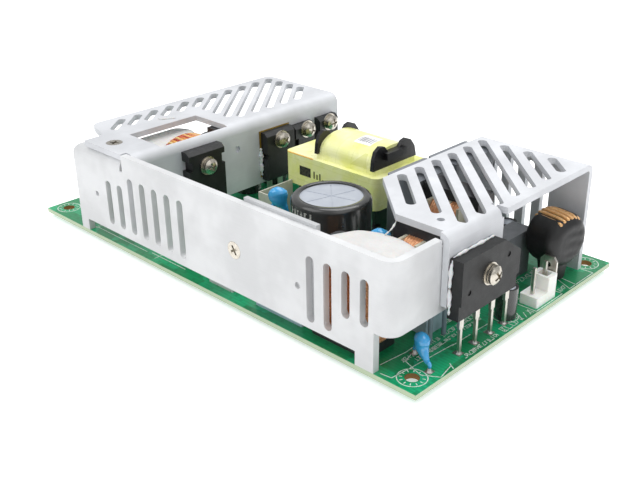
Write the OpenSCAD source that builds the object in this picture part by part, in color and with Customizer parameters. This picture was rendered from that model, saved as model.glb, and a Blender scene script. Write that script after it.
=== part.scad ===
// Open frame power supply: one green board carrying three bent aluminium heatsinks,
// a taped transformer, chokes, capacitors, clamped power devices and its connectors.
// +X runs along the board's long side, +Y to the far long side, +Z up.
// Heights inside the modules count from the board's top face.

/* [Board] */
// Board length
board_l = 177.8; // [177.8:0.1:179]
// Board width
board_w = 101.6; // [101.6:0.1:103]
// Board thickness
board_t = 1.6; // [1.2:0.1:2.4]
// Distance of the mounting holes from the board's edges
hole_in = 5.715; // [5:0.005:6.5]
// Mounting hole diameter
hole_d = 4; // [3.2:0.1:4.2]
// Height of the solder joints and lead ends under the board
solder_h = 1.8; // [1.2:0.1:2.5]

/* [Heatsinks] */
// Thickness of the front heatsink sheet
front_t = 2.3; // [2:0.1:2.4]
// Thickness of the left and right heatsink sheets
sheet_t = 2; // [1.5:0.1:2.1]
// Height of the front heatsink
front_h = 34.3; // [33.9:0.1:34.3]
// Width of the cooling slots
slot_w = 3; // [2:0.1:3.6]

/* [Parts] */
// Bulk capacitor diameter
bulk_d = 25; // [22:0.5:25]
// Bulk capacitor height
bulk_h = 30; // [25:0.5:32]
// Height of the two box capacitors
box_cap_h = 33.5; // [28:0.5:34]
// Output capacitor height
out_cap_h = 20; // [16:0.5:22]

/* [Hidden] */
$fn = 32;
eps = 0.01;
big = 300;
top_z = solder_h + board_t;
edge_x = board_l / 2;
edge_y = board_w / 2;
hole_x = edge_x - hole_in;
hole_y = edge_y - hole_in;

// fasteners
head_d = 5.5;
head_h = 1.9;
flat_washer = [6.6, 0.4];
spring_washer = [5.8, 0.8];
shank_d = 3;
washers_h = flat_washer[1] + spring_washer[1];
csk_d = 5.8;
csk_h = 1.6;

// front heatsink
front_y = -edge_y;
front_left = -64.5;
front_right = 80.6;
front_back = -8;
front_bend = 4.3;
front_low = 4.3;
side_low = 12.5;
tab_z = 32.5;
tab_right = -36.4;
tab_back = -41;
tab_bend = 3.6;
main_left = -34.9;
front_screw = [20, 18.3];

// left heatsink
left_face = -30.5;
left_top = 34.5;
left_edge = -70;
left_far = 48;
left_near = -48.2;
left_low = 9;
left_bend = 3.6;
left_screw = [-47, -44.8];

// right heatsink
right_face = 82.8;
right_top = front_h + sheet_t;
right_left = 44;
right_free = 83.8;
right_near = -29.8;
right_far = 41;
right_wall_y = [-31, -6];
right_low = 14.9;
right_bend = 3;

// the bridge screw stands past the board, so the whole part moves back by half of that
bridge_x = [right_face, 87.2];
shift_x = -(bridge_x[1] + washers_h + head_h - edge_x) / 2;

// clamped devices on the left heatsink: [first y, last y, low z, high z, front x]
dev_a = [-29.6, -14, 11, 31, -26.5];
dev_b = [6.6, 20.5, 10.5, 28.8, -26.9];
dev_small = [10, 13.8, 27.8, -27.4];
dev_small_y = [21.8, 34.9];
pad_t = 0.3;
dev_screw_z = [25, 25.4, 25.7, 25.6];
dev_screw_y = [-21.8, 13.6, 27.7, 40];
bridge_screw = [-18, 22];
bridge_lead_y = [-27.2, -19.8, -12.4, -5.3];

// ---- shared shapes ----

module box(lo, hi) translate(lo) cube(hi - lo);

module rrect(lo, hi, r) {
  translate([lo[0] + r, lo[1]]) square([hi[0] - lo[0] - 2 * r, hi[1] - lo[1]]);
  translate([lo[0], lo[1] + r]) square([hi[0] - lo[0], hi[1] - lo[1] - 2 * r]);
  for (x = [lo[0] + r, hi[0] - r], y = [lo[1] + r, hi[1] - r]) translate([x, y]) circle(r);
}

module rbox(lo, hi, r)
  translate([0, 0, lo[2]]) linear_extrude(hi[2] - lo[2]) rrect([lo[0], lo[1]], [hi[0], hi[1]], r);

// a slot with round ends between two points
module slot(p, q, w) translate(p) rotate(atan2(q[1] - p[1], q[0] - p[0])) {
  circle(d = w);
  translate([norm(q - p), 0]) circle(d = w);
  translate([0, -w / 2]) square([norm(q - p), w]);
}

// a sheet's section across a bend: outer corner at the origin, legs along -X and -Y
module bent(a, b, t, r) difference() {
  union() {
    translate([-a, -b]) square([a - r, b]);
    translate([-a, -b]) square([a, b - r]);
    translate([-r, -r]) circle(r);
  }
  translate([-a - 1, -b - 1]) square([a - r + 1, b - t + 1]);
  translate([-a - 1, -b - 1]) square([a - t + 1, b - r + 1]);
  translate([-r, -r]) circle(r - t);
}

// a plan or wall drawing pushed through along +X, seen as (y, z)
module along_x(x, len) translate([x, 0, 0]) rotate([90, 0, 90]) linear_extrude(len) children();
// a drawing seen as (x, z), pushed through towards -Y from y
module along_y(y, len) translate([0, y, 0]) rotate([90, 0, 0]) linear_extrude(len) children();

module on_board() translate([shift_x, 0, top_z]) children();

// turns a part drawn along +Z so that it points along +X
module facing_x(p) translate(p) rotate([0, 90, 0]) children();

// ---- board ----

module circuit_board() color([0.05, 0.45, 0.25]) on_board()
  difference() {
    box([-edge_x, -edge_y, -board_t], [edge_x, edge_y, 0]);
    for (x = [-hole_x, hole_x], y = [-hole_y, hole_y])
      translate([x, y, -board_t - 1]) cylinder(d = hole_d, h = board_t + 2);
  }

joint_pitch = [11.4, 8.8];
joint_n = [6, 4];
joint_d = 2.6;
lead_d = 1;
module solder_joints() color([0.75, 0.75, 0.77]) on_board()
  for (i = [-joint_n[0]:joint_n[0]], j = [-joint_n[1]:joint_n[1]])
    if ((i + 2 * j) % 3 != 0)
      translate([i * joint_pitch[0] + j % 2, j * joint_pitch[1], -board_t - solder_h]) {
        translate([0, 0, solder_h / 2]) cylinder(d1 = lead_d, d2 = joint_d, h = solder_h / 2);
        cylinder(d = lead_d, h = solder_h / 2 + eps);
      }

// ---- heatsinks ----

vent_pitch = 6.55;
left_vents = 7;
left_vent_x = -44.4;
left_vent_z = [7, 23, 27];
right_vents = 4;
right_vent_x = 51.5;
right_vent_z = [6.5, 13, 27];
foot_x = [[-65, -60], [68, 74.5]];
module front_vent(x, z0, z1)
  along_y(front_y + front_t + 1, front_t + 2)
    slot([x, z0 + slot_w / 2], [x, z1 - slot_w / 2], slot_w);

corner_r = 5;
pip_d = 2;
pips = [[-52, 16.3], [46.5, 16.3]];
module front_heatsink() color([0.82, 0.83, 0.85]) on_board() {
  difference() {
    union() {
      difference() {
        translate([front_right, front_y, front_low]) linear_extrude(front_h - front_low)
          mirror([0, 1]) bent(front_right - main_left, front_back - front_y, front_t, front_bend);
        box([foot_x[1][1], front_y - 1, front_low - 1], [front_right + 1, front_back + 1, side_low]);
        box([front_right - front_t - 1, right_wall_y[0] - 0.2, front_h - right_bend / 2],
            [front_right + 1, front_back + 1, front_h + 1]);
      }
      // left stretch of the front wall with its folded tab
      translate([front_left, front_y, tab_z]) rotate([90, 0, 90])
        linear_extrude(tab_right - front_left) mirror([1, 0])
          bent(tab_back - front_y, tab_z - front_low, front_t, tab_bend);
      box([tab_right - eps, front_y, front_low], [main_left + eps, front_y + front_t, tab_z - corner_r + 1]);
      for (f = foot_x) box([max(f[0], front_left), front_y, 0], [f[1], front_y + front_t, front_low + eps]);
      box([foot_x[1][0], front_y, 0], [foot_x[1][1], front_y + front_t, side_low + 1]);
    }
    // rounded upper left corner
    along_y(front_y + front_t + tab_bend, front_t + tab_bend + 1) difference() {
      translate([front_left - 1, tab_z - corner_r]) square(corner_r + 1);
      translate([front_left + corner_r, tab_z - corner_r]) circle(corner_r);
    }
    box([front_left - 1, front_y + tab_bend, tab_z - front_t - 1],
        [front_left + corner_r, tab_back + 1, tab_z + 1]);
    for (i = [0:left_vents - 1])
      front_vent(left_vent_x + i * vent_pitch, left_vent_z[0], left_vent_z[i < 2 ? 1 : 2]);
    for (i = [0:right_vents - 1])
      front_vent(right_vent_x + i * vent_pitch, right_vent_z[i < 2 ? 0 : 1], right_vent_z[2]);
    for (p = pips) along_y(front_y + 1, 2) translate(p) circle(d = pip_d);
    translate([front_screw[0], front_y - eps, front_screw[1]]) rotate([-90, 0, 0])
      cylinder(d1 = csk_d, d2 = csk_d - 2 * csk_h, h = csk_h);
  }
}

// the left heatsink's slanted cooling slots start along its left and far edges
fan_n = 14;
fan_start = [-65.5, -29.1];
fan_pitch = 7.3;
fan_dir = [cos(50), -sin(50)];
fan_short = 9.4;
fan_stop_y = 0.4;
fan_far = 44;
fan_stop_x = -38;
function fan_from(k) = max(0, (fan_start[1] + k * fan_pitch - fan_far) / -fan_dir[1]);
function fan_to(k) =
  let (y = fan_start[1] + k * fan_pitch)
  y + fan_short * fan_dir[1] < fan_stop_y ? fan_short
    : min((y - fan_stop_y) / -fan_dir[1], (fan_stop_x - fan_start[0]) / fan_dir[0]);
window = [[-50, -36.6], [-32.4, -7.4]];
left_outline = [[left_face + 1, left_far], [left_edge + 2, left_far], [left_edge, left_far - 2],
  [left_edge, -36.5], [-68.8, -38.8], [-65, -40.5], [-60, -41.7], [-57.3, -42.8], [-56.5, -44],
  [-56.5, -50.5], [tab_right + 1, -50.5], [tab_right + 1, left_near], [left_face + 1, left_near]];
left_dimple = [-4.6, 25.2];
module left_heatsink() color([0.82, 0.83, 0.85]) on_board()
  difference() {
    intersection() {
      translate([left_face, left_far, left_top]) rotate([90, 0, 0])
        linear_extrude(left_far + edge_y) bent(left_face - left_edge, left_top - left_low, sheet_t, left_bend);
      translate([0, 0, left_low - 1]) linear_extrude(left_top) polygon(left_outline);
    }
    translate([0, 0, left_top - sheet_t - 1]) linear_extrude(sheet_t + 2) {
      translate(window[0]) square(window[1] - window[0]);
      for (k = [0:fan_n - 1]) {
        p = [fan_start[0], fan_start[1] + k * fan_pitch];
        slot(p + fan_from(k) * fan_dir, p + fan_to(k) * fan_dir, slot_w);
      }
    }
    translate([left_screw[0], left_screw[1], left_top - csk_h]) 
      cylinder(d1 = csk_d - 2 * csk_h, d2 = csk_d, h = csk_h + eps);
    facing_x([left_face - 1, left_dimple[0], left_dimple[1]]) cylinder(d = 2.5, h = 2);
  }

fin_n = 9;
fin_slope = tan(43.5);
fin_x = [47.3, 79.6];
fin_y = [-21, 35];
fin_first = -7.1;
fin_pitch = 8.3;
function fin_at(k, x) = fin_first + k * fin_pitch - fin_slope * (x - fin_x[0]);
function fin_point(k, x) = [x, fin_at(k, x)];
function fin_start(k) = max(fin_x[0], fin_x[0] + (fin_at(k, fin_x[0]) - fin_y[1]) / fin_slope);
function fin_end(k) = min(fin_x[1], fin_x[0] + (fin_at(k, fin_x[0]) - fin_y[0]) / fin_slope);
far_slots = 4;
far_slot_x = 51.2;
far_slot_pitch = 6;
far_slot_z = [8, 31];
far_foot = 7.8;
far_low = 5;
module right_heatsink() color([0.82, 0.83, 0.85]) on_board()
  difference() {
    union() {
      intersection() {
        along_y(right_wall_y[1], right_wall_y[1] - right_wall_y[0]) translate([right_face, right_top])
          bent(right_face - right_left, right_top - right_low, sheet_t, right_bend);
        translate([0, 0, right_low - 1]) linear_extrude(right_top)
          polygon([[right_left, right_wall_y[1] + 1], [right_left, -12], [63.7, right_near],
            [right_face - right_bend, right_near], [right_face - right_bend, right_wall_y[0]],
            [right_face, right_wall_y[0]], [right_face, right_wall_y[1] + 1]]);
      }
      difference() {
        translate([right_left, 0, 0]) rotate([90, 0, 90]) linear_extrude(right_free - right_left)
          translate([right_far, right_top])
            bent(right_far - right_wall_y[1] + eps, right_top, sheet_t, right_bend);
        box([right_left + far_foot, right_far - sheet_t - 1, -1],
            [right_free - far_foot, right_far + 1, far_low]);
      }
    }
    translate([0, 0, right_top - sheet_t - 1]) linear_extrude(sheet_t + 2) {
      for (k = [0:fin_n - 1]) slot(fin_point(k, fin_start(k)), fin_point(k, fin_end(k)), slot_w);
      translate([75, -24.6]) circle(d = 2.2);
      translate([right_face - right_bend - 1, right_wall_y[1] - 1]) square([right_bend + 3, 1]);
    }
    for (i = [0:far_slots - 1])
      along_y(right_far + 1, sheet_t + 2) let (x = far_slot_x + i * far_slot_pitch)
        slot([x, far_slot_z[0]], [x, far_slot_z[1]], slot_w);
    facing_x([right_face - sheet_t - 1, bridge_screw[0], bridge_screw[1]]) cylinder(d = shank_d + 0.2, h = sheet_t + 2);
  }

module backing_plate() color([0.78, 0.79, 0.8]) on_board()
  box([23, front_y + front_t, front_low], [52, front_y + front_t + 1.5, front_h + 1.1]);

// ---- fasteners ----

module pan_screw() difference() {
  union() {
    translate([0, 0, -washers_h]) cylinder(d = shank_d, h = washers_h + eps);
    intersection() {
      cylinder(d = head_d, h = head_h);
      translate([0, 0, head_h - head_d * 0.75]) sphere(head_d * 0.75);
    }
  }
  for (a = [0, 90]) rotate(a) translate([-1.6, -0.35, head_h - 1]) cube([3.2, 0.7, 2]);
}

module at_clamps() {
  for (i = [0:3]) facing_x([(i < 2 ? (i == 0 ? dev_a[4] : dev_b[4]) : dev_small[3]) + washers_h,
    dev_screw_y[i], dev_screw_z[i]]) rotate(20 + 25 * i) children();
  facing_x([bridge_x[1] + washers_h, bridge_screw[0], bridge_screw[1]]) rotate(35) children();
}

module clamp_screws() color([0.8, 0.78, 0.72]) on_board() at_clamps() pan_screw();

module clamp_washers() color([0.78, 0.77, 0.72]) on_board() at_clamps()
  translate([0, 0, -washers_h]) difference() {
    union() {
      cylinder(d = flat_washer[0], h = flat_washer[1]);
      cylinder(d = spring_washer[0], h = washers_h);
    }
    translate([0, 0, -1]) cylinder(d = shank_d + 0.2, h = washers_h + 2);
    translate([0, -0.3, flat_washer[1]]) cube([head_d, 0.6, washers_h]);
  }

module countersunk_head() difference() {
  translate([0, 0, -csk_h + 0.1]) cylinder(d1 = csk_d - 2 * csk_h, d2 = csk_d - 0.3, h = csk_h - 0.15);
  for (a = [0, 90]) rotate(a + 30) translate([-1.6, -0.35, -0.9]) cube([3.2, 0.7, 2]);
}

module countersunk_screws() color([0.72, 0.7, 0.66]) on_board() {
  translate([front_screw[0], front_y, front_screw[1]]) rotate([90, 0, 0]) countersunk_head();
  translate([left_screw[0], left_screw[1], left_top]) countersunk_head();
}

// ---- clamped power devices ----

shoulder = [1.4, 1.2];
module device(y0, y1, z0, z1, x1, x0) along_y(y1, y1 - y0)
  polygon([[x0, z0], [x1 - 0.3, z0], [x1, z0 + 0.5], [x1, z1 - shoulder[1]], [x1 - shoulder[0], z1], [x0, z1]]);

module main_switch() color([0.08, 0.08, 0.09]) on_board() difference() {
  device(dev_a[0], dev_a[1], dev_a[2], dev_a[3], dev_a[4], left_face);
  for (y = [dev_a[0], dev_a[1]])
    box([left_face - 1, y - 1.3, 24.3], [dev_a[4] + 1, y + 1.3, 27.8]);
}

module rectifier_block() color([0.08, 0.08, 0.09]) on_board() difference() {
  device(dev_b[0], dev_b[1], dev_b[2], dev_b[3], dev_b[4], left_face + pad_t);
  translate([0, dev_b[0], 20]) rotate([0, 90, 0]) translate([0, 0, left_face]) cylinder(d = 2, h = 10);
}

module small_rectifiers() color([0.07, 0.07, 0.08]) on_board()
  for (y = dev_small_y) difference() {
    device(y, y + dev_small[0], dev_small[1], dev_small[2], dev_small[3], left_face);
    box([dev_small[3] - 1.2, y - 1, dev_small[1] - 1], [dev_small[3] + 1, y + 1.4, dev_small[1] + 9]);
  }

module insulating_pad() color([0.6, 0.3, 0.12]) on_board()
  box([left_face, dev_b[0] - 0.7, dev_b[2] + 1], [left_face + pad_t, dev_b[1] + 0.5, dev_b[3] + 0.5]);

module flat_lead(x, y, z, w, t) {
  box([x - t / 2, y - w / 2, 0], [x + t / 2, y + w / 2, z]);
  box([x - t / 2, y - w, z - 4], [x + t / 2, y + w, z]);
}

module device_leads() color([0.75, 0.74, 0.7]) on_board() {
  for (i = [-1:1]) {
    flat_lead(left_face + 2.4, (dev_a[0] + dev_a[1]) / 2 + i * 5.45, dev_a[2], 1.1, 0.6);
    flat_lead(left_face + 2.4, (dev_b[0] + dev_b[1]) / 2 + i * 5.45, dev_b[2], 1.1, 0.6);
    for (y = dev_small_y)
      flat_lead(left_face + 2, y + dev_small[0] / 2 + i * 2.54, dev_small[1], 0.7, 0.5);
  }
}

bridge_step = 16.4;
module bridge_rectifier() color([0.2, 0.2, 0.22]) on_board() difference() {
  along_x(bridge_x[0], bridge_x[1] - bridge_x[0])
    polygon([[-30.5, 11.7], [-3, 11.7], [-3, 24], [-4.9, 25.2], [-11, 29.5], [-30.5, 29.5]]);
  box([bridge_x[1] - 0.7, -32, 10], [bridge_x[1] + 1, -1, bridge_step]);
  for (y = [-27, -9]) facing_x([bridge_x[1] - 0.3, y, y < -18 ? 19.5 : 24.5]) cylinder(d = 1.6, h = 1);
}

module bridge_leads() color([0.78, 0.77, 0.73]) on_board()
  for (y = bridge_lead_y) {
    box([84.6, y - 0.5, 0], [85.5, y + 0.5, 11.7]);
    box([84.6, y - 0.95, 8], [85.5, y + 0.95, 11.7]);
  }

// ---- transformer ----

core_lo = [-15, 4, 15];
core_hi = [28, 31, 26.4];
wound_x = [0, 24];
wound_y = 16.5;
wound_r = [10.2, 8.1];
cheek_z = 28.2;
bobbin_low = 6;
module transformer_core() color([0.93, 0.9, 0.45]) on_board() rbox(core_lo, core_hi, 2.5);

module transformer_winding() color([0.93, 0.9, 0.45]) on_board() {
  along_x(wound_x[0], wound_x[1] - wound_x[0])
    polygon([for (a = [0:6:180]) [wound_y + wound_r[0] * cos(a), core_hi[2] + wound_r[1] * pow(sin(a), 0.6)]]);
  box([wound_x[0] - cheek_t, 6.3, core_hi[2]], [wound_x[1] + cheek_t, 26.7, cheek_z]);
}

cheek_t = 1.4;
module bobbin_cheek(x) along_x(x, cheek_t)
  polygon([[5.2, cheek_z], [5.6, 32], [6.6, 34.6], [8.8, 35.9], [11, 35.4], [12.6, 33.4], [18.6, 33.4],
    [20, 35.1], [22.1, 35.6], [24.6, 34.6], [26.6, 32], [27.6, cheek_z]]);
module transformer_bobbin() color([0.08, 0.08, 0.09]) on_board() {
  for (x = [wound_x[0] - cheek_t, wound_x[1]]) bobbin_cheek(x);
  box([wound_x[1] + cheek_t - eps, 10.5, 31], [wound_x[1] + cheek_t + 1.6, 20.5, 33.4]);
  box([-11, 7, bobbin_low], [25, 28, core_lo[2]]);
  for (y = [4.6, 25.6]) box([-12, y, bobbin_low - 3], [26, y + 4.8, bobbin_low + 2]);
}

module transformer_pins() color([0.8, 0.78, 0.7]) on_board()
  for (y = [7, 28], i = [0:6]) translate([-9 + i * 5, y, 0]) cylinder(d = 0.8, h = bobbin_low - 3);

// ---- capacitors ----

bulk_xy = [31, -20.5];
bulk_top_d = 19.5;
module bulk_capacitor_sleeve() color([0.06, 0.06, 0.07]) on_board()
  translate([bulk_xy[0], bulk_xy[1], 0]) difference() {
    union() {
      cylinder(d = bulk_d, h = bulk_h - 1, $fn = 64);
      translate([0, 0, bulk_h - 1]) cylinder(d1 = bulk_d, d2 = bulk_d - 1.6, h = 1, $fn = 64);
    }
    translate([0, 0, -1]) cylinder(d = bulk_top_d, h = bulk_h + 2, $fn = 64);
  }

module bulk_capacitor_can() color([0.6, 0.62, 0.66]) on_board()
  translate([bulk_xy[0], bulk_xy[1], 0]) difference() {
    cylinder(d = bulk_top_d, h = bulk_h - 0.6, $fn = 64);
    for (a = [0, 60, 120]) rotate(a + 15) translate([-8.5, -0.15, bulk_h - 0.8]) cube([17, 0.3, 1]);
  }

module box_capacitors() color([0.45, 0.47, 0.5]) on_board() {
  rbox([38, -3, 0], [50, 16, box_cap_h], 0.8);
  rbox([38, 17.4, 0], [50, 38, box_cap_h], 0.8);
}

module x_capacitor() color([0.33, 0.35, 0.37]) on_board() difference() {
  rbox([65, 2, 0], [72.2, 28.3, 15.2], 0.7);
  box([66, 3, -1], [71.2, 27.3, 0.8]);
}

module film_capacitors() color([0.5, 0.6, 0.66]) on_board() {
  rbox([66, -26.5, 0], [73.3, -18, 13], 0.5);
  rbox([24, front_y + front_t + 1.6, 0], [44, -41.5, 12], 0.5);
}

module relay_block() color([0.75, 0.76, 0.76]) on_board()
  rbox([2, front_y + front_t + 1.6, 0], [13.5, -40, 11], 0.4);

module small_electrolytics() color([0.05, 0.05, 0.06]) on_board() {
  for (p = [[83, -1.4, 10], [-21, -34, 12], [-14, -40, 12], [60, 33, 12]])
    translate([p[0], p[1], 0]) difference() {
      cylinder(d = 6.5, h = p[2]);
      translate([0, 0, p[2] - 0.3]) cylinder(d = 5, h = 1);
    }
}

out_cap_at = [[-62, 10], [-62, 23], [-62, 36], [-46, 13], [-46, 27], [-46, 40]];
out_cap_d = 10;
module output_capacitor_sleeves() color([0.07, 0.07, 0.08]) on_board()
  for (p = out_cap_at) translate([p[0], p[1], 0]) difference() {
    cylinder(d = out_cap_d, h = out_cap_h);
    translate([0, 0, -1]) cylinder(d = out_cap_d - 1.8, h = out_cap_h + 2);
  }
module output_capacitor_cans() color([0.72, 0.73, 0.75]) on_board()
  for (p = out_cap_at) translate([p[0], p[1], 0]) difference() {
    cylinder(d = out_cap_d - 1.8, h = out_cap_h - 0.4);
    for (a = [45, 135]) rotate(a) translate([-3.4, -0.15, out_cap_h - 0.6]) cube([6.8, 0.3, 1]);
  }

// disc capacitors: [centre, radius, turn about Z, half the lead spacing, foot of the coating]
discs = [[[7.6, -20.5, 22.7], 3.3, 45, 2.5, 13], [[57, -27.8, 25.8], 3.4, 30, 2.5, 16],
  [[80.4, -37.6, 6.2], 3, -27.4, 4.9, 1.2]];
disc_t = 3;
coat_d = 1.8;
module rod(p, q, d1, d2) translate(p)
  rotate([0, acos((q[2] - p[2]) / norm(q - p)), atan2(q[1] - p[1], q[0] - p[0])])
    cylinder(d1 = d1, d2 = d2, h = norm(q - p));
module lens(r, t) {
  big_r = (r * r + t * t / 4) / t;
  intersection() {
    translate([0, 0, t / 2 - big_r]) sphere(big_r);
    translate([0, 0, big_r - t / 2]) sphere(big_r);
    cylinder(r = r * 0.97, h = t, center = true);
  }
}
module disc_capacitors() color([0.1, 0.5, 0.8]) on_board()
  for (d = discs) translate([d[0][0], d[0][1], 0]) rotate(d[2]) {
    translate([0, 0, d[0][2]]) rotate([90, 0, 0]) lens(d[1], disc_t);
    for (s = [-1, 1]) rod([s * d[3], 0, d[4]], [s * d[1] * 0.45, 0, d[0][2] - d[1] * 0.7], coat_d / 2, coat_d);
  }
module disc_capacitor_leads() color([0.8, 0.78, 0.74]) on_board()
  for (d = discs, s = [-1, 1]) translate([d[0][0], d[0][1], 0]) rotate(d[2])
    translate([s * d[3], 0, 0]) cylinder(d = 0.7, h = d[4] - 0.3);

// ---- chokes ----

// ferrite frames standing along X with a wound middle leg: [centre, length, wound sections, end thickness]
chokes = [[[70.3, -25, 26.1], 15.8, 1, 4.4], [[60.9, 3, 25.4], 20, 2, 4]];
frame_d = 8;
frame_h = 16.2;
beam_h = 3.2;
middle_h = 4;
coil_y = 8;
coil_z = 4.8;
plate_t = 0.9;
function wound_len(c) = c[1] - 2 * c[3];
function pitch(c) = wound_len(c) / c[2];
module line_choke_cores() color([0.1, 0.1, 0.11]) on_board()
  for (c = chokes) translate(c[0]) {
    for (s = [-1, 1]) {
      translate([s * (c[1] - c[3]) / 2, 0, 0]) cube([c[3], frame_d, frame_h], center = true);
      translate([0, 0, s * (frame_h - beam_h) / 2]) cube([c[1], frame_d, beam_h], center = true);
    }
    cube([c[1], frame_d - 2, middle_h], center = true);
  }
module coil_outline(ry, rz) {
  square([2 * (ry - rz), 2 * rz], center = true);
  for (s = [-1, 1]) translate([s * (ry - rz), 0]) circle(rz);
}
module line_choke_windings() color([0.72, 0.38, 0.16]) on_board()
  for (c = chokes, k = [0:c[2] - 1])
    translate(c[0]) difference() {
      along_x(-wound_len(c) / 2 + k * pitch(c) + plate_t, pitch(c) - 2 * plate_t)
        coil_outline(coil_y - 0.6, coil_z - 0.5);
      cube([c[1], frame_d - 2 + eps, middle_h + eps], center = true);
    }
module line_choke_bobbins() color([0.88, 0.86, 0.78]) on_board()
  for (c = chokes) {
    for (k = [0:c[2] - 1], e = [0, pitch(c) - plate_t]) translate(c[0]) difference() {
      translate([-wound_len(c) / 2 + k * pitch(c) + e, -coil_y, -coil_z]) cube([plate_t, 2 * coil_y, 2 * coil_z]);
      cube([c[1], frame_d - 2, middle_h], center = true);
    }
    // stand under the frame
    under = c[0][2] - frame_h / 2;
    for (x = [-1, 1], y = [-1, 1])
      translate([c[0][0] + (c[2] == 2 ? -3.4 : 0) + x * 5.6, c[0][1] + y * (frame_d / 2 - 0.8), 0])
        cylinder(d = 1.4, h = under - 1.9);
    box([c[0][0] - c[1] / 2, c[0][1] - frame_d / 2, under - 2], [c[0][0] + c[1] / 2, c[0][1] + frame_d / 2, under]);
  }

boost_lo = [47, -47, 1];
boost_hi = [69, -34, 27.8];
module boost_choke_winding() color([0.7, 0.36, 0.15]) on_board()
  rbox([boost_lo[0], boost_lo[1], 3], [boost_hi[0], boost_hi[1], boost_hi[2] - 2], 6);
module boost_choke_core() color([0.12, 0.12, 0.13]) on_board() {
  rbox([boost_lo[0], boost_lo[1], 0], [boost_hi[0], boost_hi[1], 3], 2);
  rbox([boost_lo[0], boost_lo[1], boost_hi[2] - 2], [boost_hi[0], boost_hi[1], boost_hi[2]], 2);
}

sleeved_at = [79.8, 29.3, 14.2];
sleeved_turn = 80;
sleeved_r = 8.8;
sleeved_half = 6.4;
sleeve_neck = [4, 5];
module pill(r, half, round_r) rotate_extrude($fn = 64) {
  translate([0, -half]) square([r - round_r, 2 * half]);
  translate([0, -half + round_r]) square([r, 2 * (half - round_r)]);
  for (s = [-1, 1]) translate([r - round_r, s * (half - round_r)]) circle(round_r);
}
module at_sleeved() translate(sleeved_at) rotate(sleeved_turn) rotate([90, 0, 0]) children();
module sleeved_choke_sleeve() color([0.07, 0.07, 0.08]) on_board() difference() {
  union() {
    at_sleeved() pill(sleeved_r, sleeved_half, 4);
    translate([sleeved_at[0], sleeved_at[1], 0.8])
      cylinder(r1 = sleeve_neck[0], r2 = sleeve_neck[1], h = sleeved_at[2] - sleeved_r + 1.5);
  }
  at_sleeved() pill(sleeved_r - 0.6, sleeved_half - 0.6, 3.4);
  translate([sleeved_at[0], sleeved_at[1], sleeved_at[2] + sleeved_r - 1.3])
    cylinder(r = 2 * sleeved_r, h = sleeved_r);
}
module sleeved_choke_winding() color([0.8, 0.45, 0.2]) on_board() difference() {
  at_sleeved() pill(sleeved_r - 0.7, sleeved_half - 0.7, 3.3);
  at_sleeved() cylinder(r = 3, h = 30, center = true);
}

ring_at = [-41.6, -17.4, 15.6];
ring_r = 15;
ring_hole = 6;
ring_half = 5.6;
module output_choke_winding() color([0.8, 0.35, 0.12]) on_board()
  facing_x(ring_at) rotate_extrude($fn = 64)
    rrect([ring_hole, -ring_half], [ring_r, ring_half], 3.4);
module thermal_cutout() color([0.1, 0.1, 0.11]) on_board()
  rbox([-41.5, -9.4, left_top - sheet_t - 3.6], [-33.5, -0.5, left_top - sheet_t - 0.2], 0.5);

// ---- connectors and small pieces ----

module input_connector() color([0.93, 0.92, 0.86]) on_board() difference() {
  union() {
    rbox([81.5, 8.2, 0], [87.7, 18.8, 3.3], 0.4);
    rbox([81.5, 14, 0], [87.7, 18.8, 8], 0.4);
  }
  box([82.9, 14.9, 4.5], [86.4, 17.9, 9]);
}
pin_y = [10.2, 16.4];
module connector_pins() color([0.8, 0.79, 0.75]) on_board()
  for (i = [0, 1]) box([84.2, pin_y[i] - 0.5, [3.3, 4.5][i]], [85.1, pin_y[i] + 0.5, 12]);
tab_x = [81.1, 86.7];
tab_h = 12.3;
module ground_tab() color([0.75, 0.74, 0.7]) on_board() difference() {
  along_y(20.1, 0.8) polygon([[tab_x[0], 0], [tab_x[1], 0], [tab_x[1], tab_h - 1.4], [tab_x[1] - 1.1, tab_h],
    [tab_x[0] + 1.1, tab_h], [tab_x[0], tab_h - 1.4]]);
  along_y(21, 2) translate([(tab_x[0] + tab_x[1]) / 2, tab_h - 2.8]) circle(d = 1.8);
}

module output_connector() color([0.93, 0.92, 0.86]) on_board() difference() {
  rbox([-87.4, -29, 0], [-77, 25, 11], 0.5);
  for (i = [0:7]) box([-86.2, -27.6 + i * 6.6, 3], [-79, -22.4 + i * 6.6, 12]);
}
module output_pins() color([0.8, 0.79, 0.75]) on_board()
  for (i = [0:7]) box([-83.2, -25.5 + i * 6.6, 3], [-82.2, -24.5 + i * 6.6, 10]);

module barrier_sheet() color([0.75, 0.76, 0.7]) on_board() {
  box([-11, -12.4, 0], [-2.5, -11.9, 16.5]);
  box([-11.5, -12.4, 0], [-11, 3.6, 16.5]);
}

// white silicone that holds the tall parts: smooth lumps with the parts' shapes cut out
module lump(points) hull() for (p = points) translate([p[0], p[1], p[2]]) sphere(p[3], $fn = 20);
module silicone_glue() color([0.93, 0.93, 0.9]) {
  on_board() lump([[54.2, -45.8, 30.2, 2.2], [58, -38.4, 30.4, 2.2], [63, -36, 30.4, 2.2], [70, -35.8, 30.6, 2.2],
    [75.4, -37.5, 30.6, 2.4], [75.6, -45.5, 31, 2.4], [66, -43, 31.4, 2.4], [64, -46, 30.6, 2.2]]);
  difference() {
    on_board() lump([[-55, -31, 27, 3], [-55, -13, 27, 3], [-51, -32, 27, 3], [-51, -11, 27, 3],
      [-44, -30, 26, 2.5], [-44, -12, 26.6, 2.5]]);
    output_choke_winding();
  }
}

// Which piece to show; all shows the whole part

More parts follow.
